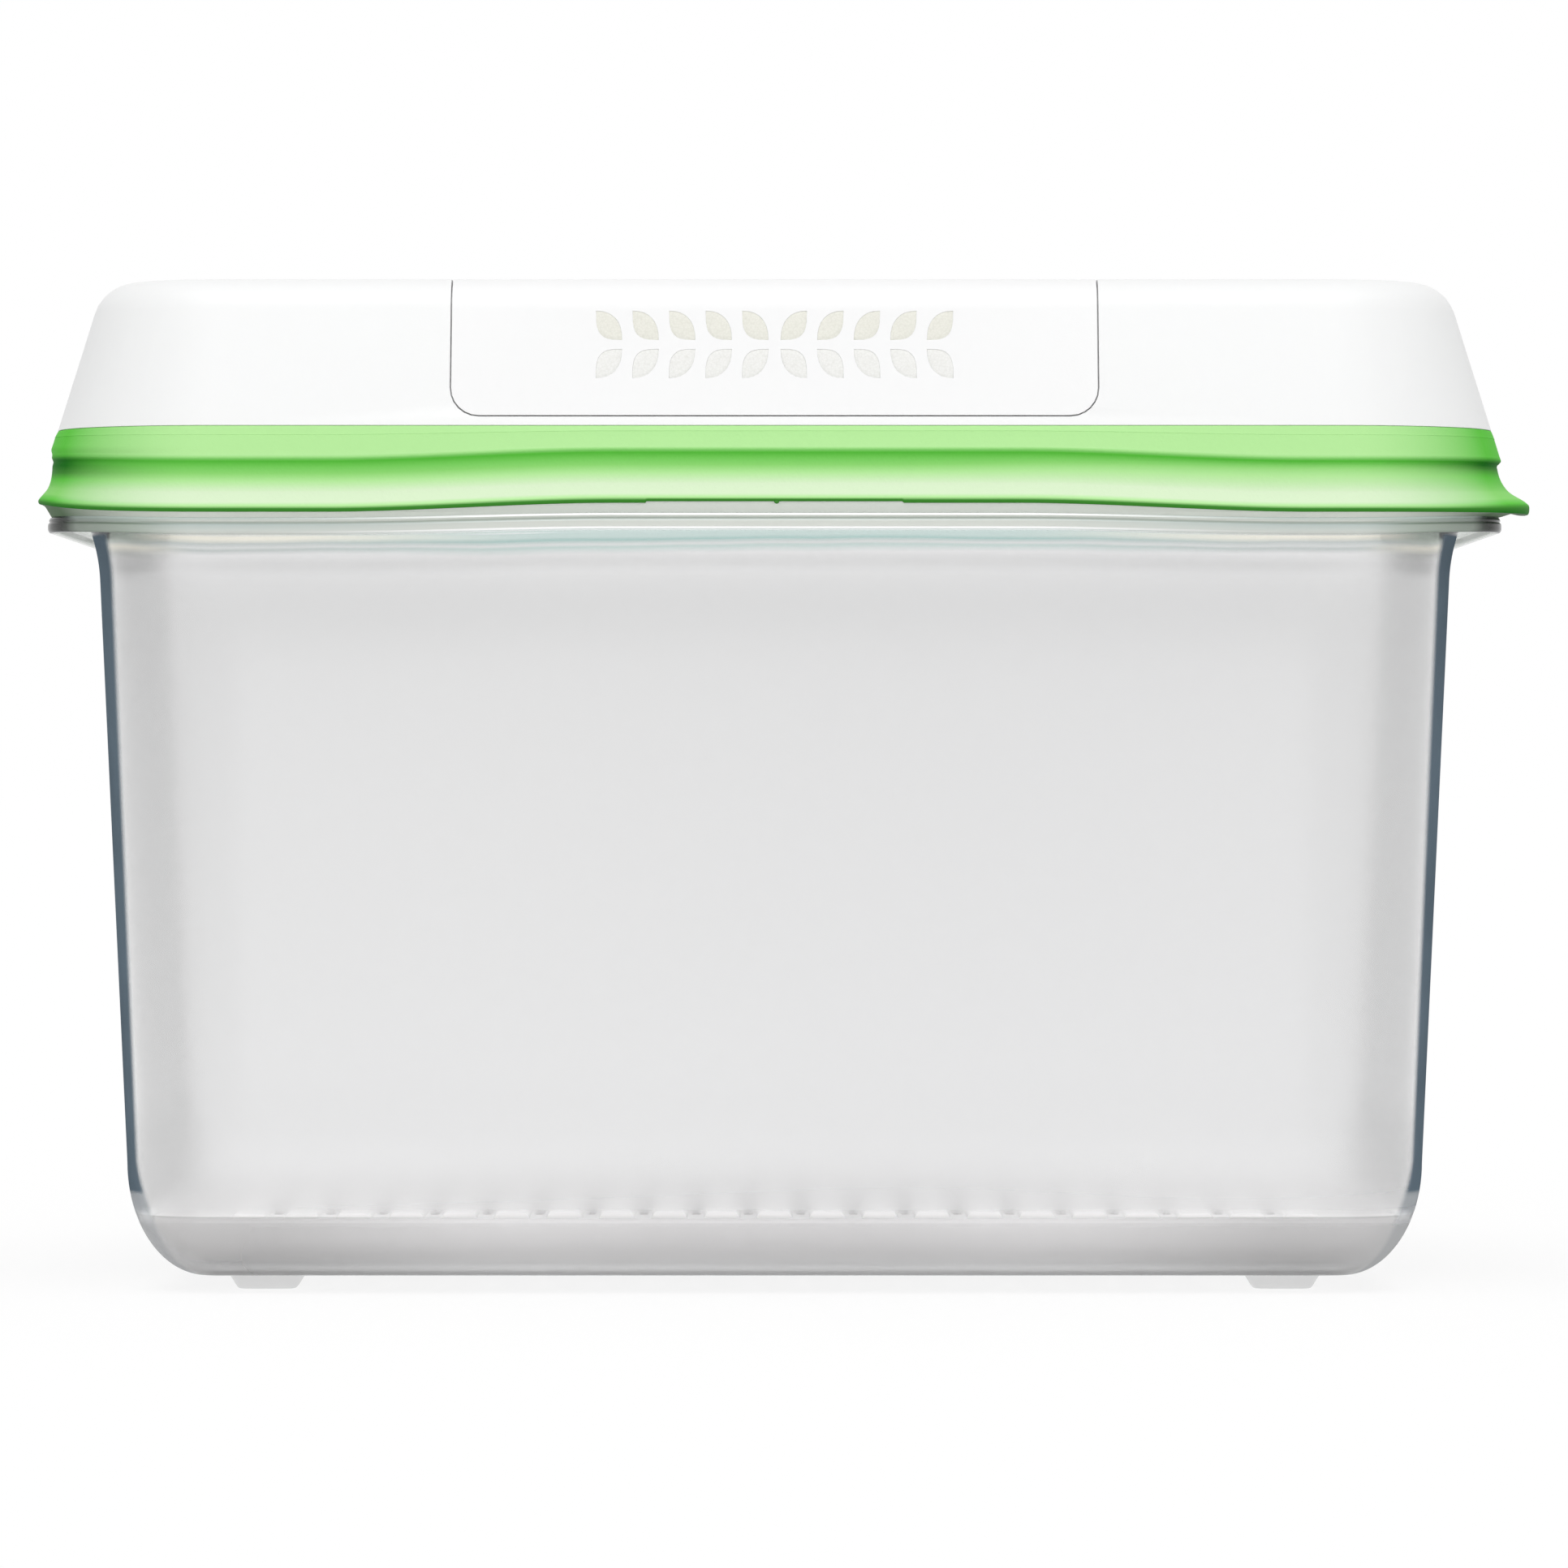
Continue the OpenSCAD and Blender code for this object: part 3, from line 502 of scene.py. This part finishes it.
grain_group = fine_grain()
tray = joined_copy("crisp_tray", "crisping_tray", 0.25)
finish, tree = empty_finish("frosted plastic")
where = node(tree, "ShaderNodeTexCoord").outputs["Object"]
grain = node(tree, "ShaderNodeGroup", {"node_tree": grain_group}, Vector=where, Grain=1800.0, Drift=18.0)
tint = blended(tree, grain.outputs["Drift"], (0.975, 0.965, 0.965, 1), (0.99, 0.98, 0.98, 1))
matt = between(tree, grain.outputs["Drift"], 0.0, 1.0, 0.08, 0.14)
bump = node(tree, "ShaderNodeBump", Strength=0.03, Distance=0.0002, Height=grain.outputs["Height"])
# A painted glow stands in for light that soaks through the milky plastic, most of it into the deck; it shows
# where the tub lies before it
place = node(tree, "ShaderNodeSeparateXYZ", Vector=where)
tall = place.outputs[2]
painted_glow_share = colour_stops(tree, between(tree, tall, 0.0, 0.020), [
    (share, (amount,) * 3) for share, amount in [(0.34, 0.0), (0.42, 0.08), (0.50, 0.16), (0.68, 0.20)]])
spread = between(tree, worked(tree, "ABSOLUTE", place.outputs[0]), 0.02, 0.08, 0.45, 1.1)
on_deck = between(tree, tall, 0.0138, 0.0146, 0.0, 0.30)
painted_glow_share = worked(tree, "MAXIMUM", worked(tree, "MULTIPLY", painted_glow_share, spread), on_deck)
glow = worked(tree, "MULTIPLY", painted_glow_share, node(tree, "ShaderNodeLightPath").outputs["Is Transmission Ray"])
body = node(tree, "ShaderNodeBsdfPrincipled", Base_Color=tint, Roughness=matt, IOR=1.49,
            Transmission_Weight=0.15, Emission_Color=(1, 1, 1, 1), Emission_Strength=glow,
            Normal=bump.outputs[0])
through_it = node(tree, "ShaderNodeBsdfTranslucent", Color=tint)
frosted = node(tree, "ShaderNodeMixShader", in0=0.4, in1=body.outputs[0], in2=through_it.outputs[0])
node(tree, "ShaderNodeOutputMaterial", Surface=frosted.outputs[0])
tray.data.materials.append(finish)
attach(tray, "base")
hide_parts("crisp_tray")


# ---- Lid shell ---------------------------------------------------------------------------------
# One satin white moulding: the dome, the skirt and plug on either side of the tub's lip, and the bed
# with pockets and windows that the vent cover lies in.


def satin_white(name, white, drift_size):
    """The satin white moulded plastic of the lid's hard pieces, with a fine tool texture."""
    finish, tree = empty_finish(name)
    where = node(tree, "ShaderNodeTexCoord").outputs["Object"]
    grain = node(tree, "ShaderNodeGroup", {"node_tree": grain_group}, Vector=where, Grain=2600.0,
                 Drift=drift_size)
    tint = blended(tree, grain.outputs["Drift"], (white[0] - 0.008, white[1] - 0.008, white[2] - 0.006, 1),
                   (white[0] + 0.008, white[1] + 0.008, white[2] + 0.008, 1))
    satin = between(tree, grain.outputs["Drift"], 0.0, 1.0, 0.38, 0.48)
    bump = node(tree, "ShaderNodeBump", Strength=0.12, Distance=0.0001, Height=grain.outputs["Height"])
    body = node(tree, "ShaderNodeBsdfPrincipled", Base_Color=tint, Roughness=satin, IOR=1.49,
                Normal=bump.outputs[0])
    node(tree, "ShaderNodeOutputMaterial", Surface=body.outputs[0])
    return finish


shell = joined_copy("lid_shell", "lid_white_shell", 0.10)
shell.data.materials.append(satin_white("satin white shell", (0.888, 0.893, 0.890), 11.0))
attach(shell, "lid")
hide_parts("lid_shell")


# ---- Green brim --------------------------------------------------------------------------------
# A ring of soft rubbery plastic moulded round the lid's skirt: a smooth band down to a ridge, a waist
# and a lip that flares over the rim. Its edge waves along the long sides and is longer at the right
# end, where a thumb lifts it. The moulding left a witness line near the top and a gate mark in front.
seat, brim_top, lip_low = 142.95, 158.45, 142.6
skirt_in, brim_in, brim_head = 26.9, 28.9, 30.15
lift_edge, wave_mid, wave_left, wave_right = 2.9, 1.6, 1.1, 0.4
ridge_fade, left_rise, left_short, right_rise = 0.65, 1.25, 0.5, 0.8  # at the ends, the ridge and the lip
bow_right, bow_left, waist_rise = 1.8, 1.3, 1.3
step_half, step_drop = 23.3, 0.3
# Lit and shaded copies of the soft ring's green, from a painted highlight to a painted shade, and the bands
# of its section that they lie in
painted_pale, apple, leaf_green = (0.70, 0.85, 0.60), (0.47, 0.82, 0.34), (0.27, 0.69, 0.17)
grass, forest, night = (0.12, 0.58, 0.06), (0.05, 0.25, 0.03), (0.003, 0.15, 0.002)
front_painted_greens = [  # on the long sides: the band, under the ridge, the waist, the lip and its edge
    (158.4, apple), (153.0, apple), (151.9, grass), (149.7, leaf_green), (148.2, apple), (146.2, painted_pale),
    (144.4, painted_pale), (143.7, apple), (143.2, forest), (142.6, forest),
]
end_painted_greens = [  # and on the short sides
    (158.4, grass), (153.0, grass), (151.9, night), (150.8, night), (149.5, forest), (148.2, grass),
    (146.2, leaf_green), (144.9, leaf_green), (143.9, grass), (143.2, forest), (142.6, night),
]
# The underside of the lip is pale; on the short sides it is darkened as a painted shade
underside, end_underside_shade = (0.85, 0.90, 0.83), (0.12, 0.19, 0.11)

# Offset, height, share of the wave and share of the lifting edge, from the seat up the outside
brim_line = np.array([
    [skirt_in, 142.95, 0, 0], [30.8, 142.74, 0, 0], [31.3, 142.53, 0, 0], [32.62, 142.95, 0.7, 0.5],
    [33.6, 142.6, 1, 0.95], [34.05, 142.68, 1, 1], [34.27, 143.1, 1, 1], [34.12, 143.6, 1, 1],
    [33.4, 144.5, 1, 0.9], [32.28, 146.15, 1, 0.5], [31.5, 148.2, 1, 0.08], [31.2, 150.25, 1, 0],
    [31.28, 151.6, 1, 0], [31.85, 152.3, 1, 0], [31.86, 152.75, 1, 0], [31.62, 153.5, 0.85, 0],
    [31.0, 155.7, 0.45, 0], [30.7, 156.68, 0.42, 0], [30.74, 156.78, 0.42, 0],
    [30.66, 156.9, 0.42, 0], [30.2, 158.25, 0, 0], [30.0, 158.4, 0, 0], [brim_in, 158.4, 0, 0],
    [brim_in, 144.3, 0, 0], [skirt_in, 144.3, 0, 0],
])


def through(points, tight, count=5):
    """A smooth line through points: the Catmull-Rom curve 0.5 (2B + (C-A) t + (2A-5B+4C-D) t^2
    + (3B-A-3C+D) t^3) between each two, or a straight piece where tight says so."""
    ends = np.concatenate([2 * points[:1] - points[1:2], points, 2 * points[-1:] - points[-2:-1]])
    a, b, c, d = (ends[i:len(ends) - 3 + i, None] for i in range(4))
    t = np.linspace(0, 1, count, endpoint=False)[None, :, None]
    curve = 0.5 * (2 * b + (c - a) * t + (2 * a - 5 * b + 4 * c - d) * t ** 2
                   + (3 * b - a - 3 * c + d) * t ** 3)
    line = b + (c - b) * t
    joined = np.where(np.asarray(tight)[:, None, None], line, curve)
    return np.concatenate([joined.reshape(-1, points.shape[1]), points[-1:]])


straight = np.zeros(len(brim_line) - 1, bool)
straight[[0, 1, 2, 12, 16, 17, 18, 19, 20, 21, 22, 23]] = True
brim_section = through(brim_line, straight)
step = np.outer([-1, 1], [step_half + 0.2, step_half - 0.2])
long_x = np.sort(np.append(np.linspace(corner_x, -corner_x, 96, endpoint=False), step))[::-1]
centres, turns = stops(corner_x, corner_y, 20, (corner_x - long_x) / (2 * corner_x),
                       np.linspace(0, 1, 28, endpoint=False))
on_corner = (turns % (math.pi / 2)) / (math.pi / 2)
quarter = np.floor(turns / (math.pi / 2) + 1e-9).astype(int) % 4
straight_side = on_corner < 1e-9
lift = np.select(
    [np.abs(np.cos(turns)) > 0.999999, np.abs(np.sin(turns)) > 0.999999, quarter == 0, quarter == 1,
     quarter == 2],
    [np.where(np.cos(turns) > 0, wave_right, wave_left), wave_mid * wave_share(centres[:, 0]),
     wave_right * (1 - ease(on_corner)), wave_left * ease(on_corner), wave_left * (1 - ease(on_corner))],
    wave_right * ease(on_corner))
reach = np.select(
    [np.cos(turns) > 0.999999, (quarter == 0) & ~straight_side, (quarter == 3) & ~straight_side],
    [1.0, 1 - ease(1.4 * on_corner), ease(1 - 1.4 * (1 - on_corner))], 0.0)
u, z, waved, lifted = brim_section.T
# The left end's lip rises and is shorter, and both short sides bow upwards in the middle
left_share = np.clip(-np.cos(turns), 0, 1) ** 5
side_bow = np.where(np.cos(turns) > 0, bow_right, bow_left) * (np.abs(np.cos(turns)) > 0.999999)
side_bow = side_bow * ease(1.3 - 1.3 * np.abs(centres[:, 1]) / corner_y)
raised = (left_rise * left_share[:, None] * lifted
          + side_bow[:, None] * waved * ease((149.5 - z) / 5)
          + right_rise * reach[:, None] * lifted * np.clip((z - 142.7) / 0.8, 0, 1))
points = carried(u + (lift_edge * reach - left_short * left_share)[:, None] * lifted,
                 z + lift[:, None] * waved + raised, centres, turns)
# At the right the waist is narrower: its lower part starts closer under the ridge
points[..., 2] += (waist_rise * ease((centres[:, :1] - 15) / 85)
                   * ease(1 - np.abs(z - 149.2) / 3.0) * (u > 31))
# The seat follows the rim as it sags towards the ends of the long sides
seat_sag = rim_sag * (1 - wave_share(centres[:, 0])) * np.abs(np.sin(turns)) ** 3
points[..., 2] -= seat_sag[:, None] * (np.abs(u - 31.05) < 0.3) * (z < 142.9)
# In the middle of the front the lower edge steps up a little
thumb_step = step_drop * ((np.abs(centres[:, 0]) < step_half) & (np.sin(turns) < -0.9))
points[..., 2] += thumb_step[:, None] * np.clip(1 - np.abs(z - 142.7) / 0.9, 0, 1) * (waved > 0.6)
# The ridge fades out round the left end
left_end = ridge_fade * ease(-np.cos(turns) * 1.25)
outward = np.stack([np.cos(turns), np.sin(turns)], 1)[:, None]
on_ridge = ease(1 - np.abs(z - 152.6) / 1.9) * (u > 30.5)
points[..., :2] -= left_end[:, None, None] * outward * on_ridge[None, :, None]
nub_z, nub_r = np.array([145.0, 144.6, 144.35, 144.18, 144.1]), np.array([0.30, 0.50, 0.48, 0.28, 0.06])
round_nub = np.linspace(0, 2 * math.pi, 16, endpoint=False)[:, None]
nub = np.stack([0.4 + nub_r * np.cos(round_nub), -91.45 + 0.7 * nub_r * np.sin(round_nub),
                np.broadcast_to(nub_z, (16, 5))], -1)
shells = [(points, ring_faces(len(turns), len(brim_section), closed=True)),
          (nub, ring_faces(16, 5, closed=False))]
brim = moulding("green_brim", shells, flats=(nub_z[0], nub_z[-1]))

# For the colour with its painted light and shade: how far down the section a point lies, from 0 at the top
# edge to 0.9 at the lower edge and 1 underneath, and how far its side turns from the front or back to an end,
# where the greens are a darker painted shade
outer_from = int(np.argmax(brim_section[:, 0] >= 33.95))
section_drop = np.where(np.arange(len(z)) < outer_from, 1.0, 0.9 * (brim_top - z) / (brim_top - lip_low))
side_turn = np.clip((np.degrees(np.arcsin(np.abs(np.cos(turns)))) - 5) / 57, 0, 1) ** 1.7
for label, values in [
    ("drop", np.append(np.tile(section_drop, len(turns)), np.full(nub[..., 0].size, 0.9))),
    ("turn", np.append(np.repeat(side_turn, len(z)), np.zeros(nub[..., 0].size))),
]:
    brim.data.attributes.new(label, "FLOAT", "POINT").data.foreach_set("value", values.astype(np.float32))

finish, tree = empty_finish("soft green")
where = node(tree, "ShaderNodeTexCoord").outputs["Object"]
grain = node(tree, "ShaderNodeGroup", {"node_tree": grain_group}, Vector=where, Grain=1500.0, Drift=30.0)
down, turn = (node(tree, "ShaderNodeAttribute", {"attribute_name": label}).outputs["Fac"]
              for label in ("drop", "turn"))
# The painted light and shade of the green by height, on the long sides and on the short sides, blended by the
# turn
sides = [colour_stops(tree, down, [(0.9 * (brim_top - place) / (brim_top - lip_low), colour)
                                   for place, colour in greens] + [(0.96, under)])
         for greens, under in ((front_painted_greens, underside), (end_painted_greens, end_underside_shade))]
green = blended(tree, turn, *sides)
soft = between(tree, grain.outputs["Drift"], 0.0, 1.0, 0.50, 0.62)
bump = node(tree, "ShaderNodeBump", Strength=0.25, Distance=0.0002, Height=grain.outputs["Height"])
body = node(tree, "ShaderNodeBsdfPrincipled", Base_Color=green, Roughness=soft, IOR=1.5,
            Specular_IOR_Level=0.03, Normal=bump.outputs[0])
node(tree, "ShaderNodeOutputMaterial", Surface=body.outputs[0])
brim.data.materials.append(finish)
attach(brim, "lid")
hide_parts("brim_seal")


# ---- Vent cover --------------------------------------------------------------------------------
# A white panel that wraps over the lid from front to back and clips into its bed, with two rows of
# ten leaves cut through each face.
cover = joined_copy("vent_cover", "leaf_vent_cover", 0.08)
cover.data.materials.append(satin_white("satin white cover", (0.896, 0.897, 0.896), 7.0))
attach(cover, "lid")
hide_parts("vent_cover")


# ---- Filter sheets -----------------------------------------------------------------------------
# Two pale sheets of granular membrane, one behind each face of the cover. Each is pressed into the
# leaves from behind, so that it fills them to just under the cover's face.
leaf_w, leaf_h, leaf_back, leaf_belly = 4.75, 5.35, 2.35, 3.4
leaf_first, leaf_pitch, leaf_stem, leaf_row = 3.5, 6.65, 173.3, 0.85 + 5.35 / 2
face_u, face_z, face_slope = 30.15, 158.45, math.radians(17.4)
leaf_gap, sheet_depth = 0.02, 1.9
# The upper row of leaves is a darker, yellower painted shade of the same membrane
shaded_top_row, bottom_row = (0.86, 0.855, 0.785), (0.905, 0.905, 0.885)


def leaf_outline(count):
    """A leaf round its centre, of unit width and height: one quarter superellipse about the lower left
    corner, p^k + q^k = 1 with k the fullness of its back, and one about the upper right for its belly."""
    a = np.linspace(math.pi / 2, 0, count, endpoint=False)
    back = np.stack([np.cos(a) ** (2 / leaf_back), np.sin(a) ** (2 / leaf_back)], 1) - 0.5
    belly = 0.5 - np.stack([np.cos(a) ** (2 / leaf_belly), np.sin(a) ** (2 / leaf_belly)], 1)
    return np.concatenate([back, belly])


# Rings from the back of the swelling to its front: share of the outline, and depth under the face
rings = np.array([[0.02, sheet_depth], [1.0, sheet_depth], [1.0, 0.1], [0.97, 0.06], [0.6, 0.05],
                  [0.02, 0.05]])
outline = leaf_outline(14) * (leaf_w - 2 * leaf_gap, leaf_h - 2 * leaf_gap)
share, under_face = rings[None].transpose(2, 0, 1)

finish, tree = empty_finish("granular membrane")
where = node(tree, "ShaderNodeTexCoord").outputs["Object"]
height = node(tree, "ShaderNodeSeparateXYZ", Vector=where).outputs[2]
# The upper row takes the painted shade
upper = between(tree, height, leaf_stem / 1000 - 0.0004, leaf_stem / 1000 + 0.0004)
row_tint = blended(tree, upper, (*bottom_row, 1), (*shaded_top_row, 1))
specks = node(tree, "ShaderNodeTexVoronoi", {"feature": "F1"}, Vector=where, Scale=2600.0).outputs["Distance"]
speckled = blended(tree, specks, row_tint, (0.90, 0.90, 0.885, 1), "MULTIPLY")
matt = between(tree, specks, 0.0, 1.0, 0.75, 0.9)
bump = node(tree, "ShaderNodeBump", Strength=0.35, Distance=0.0001, Height=specks)
body = node(tree, "ShaderNodeBsdfPrincipled", Base_Color=speckled, Roughness=matt, Specular_IOR_Level=0.3,
            Normal=bump.outputs[0])
node(tree, "ShaderNodeOutputMaterial", Surface=body.outputs[0])

for name, side in (("vent_filter_front", -1), ("vent_filter_back", 1)):
    shells = []
    for mirror_x in (-1, 1):
        for row in (-1, 1):
            turned = outline * (-mirror_x, row)
            z = leaf_stem + row * leaf_row + share * turned[:, None, 1]
            u = face_u - (z - face_z) * math.tan(face_slope) - under_face / math.cos(face_slope)
            for k in range(5):
                x = mirror_x * (leaf_first + k * leaf_pitch) + share * turned[:, None, 0]
                shells.append((np.stack([x, side * (corner_y + u), z], -1),
                               ring_faces(len(outline), len(rings), closed=False)))
    sheet = moulding(name + "_membrane", shells, sharp=60)
    form = bmesh.new()
    form.from_mesh(sheet.data)
    bmesh.ops.holes_fill(form, edges=[e for e in form.edges if e.is_boundary])
    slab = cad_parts[name].data.copy()
    form.from_mesh(slab)
    bmesh.ops.remove_doubles(form, verts=form.verts, dist=2e-6)
    bmesh.ops.recalc_face_normals(form, faces=form.faces)
    form.to_mesh(sheet.data)
    form.free()
    bpy.data.meshes.remove(slab)
    sheet.data.materials.append(finish)
    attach(sheet, "lid")
    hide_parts(name)
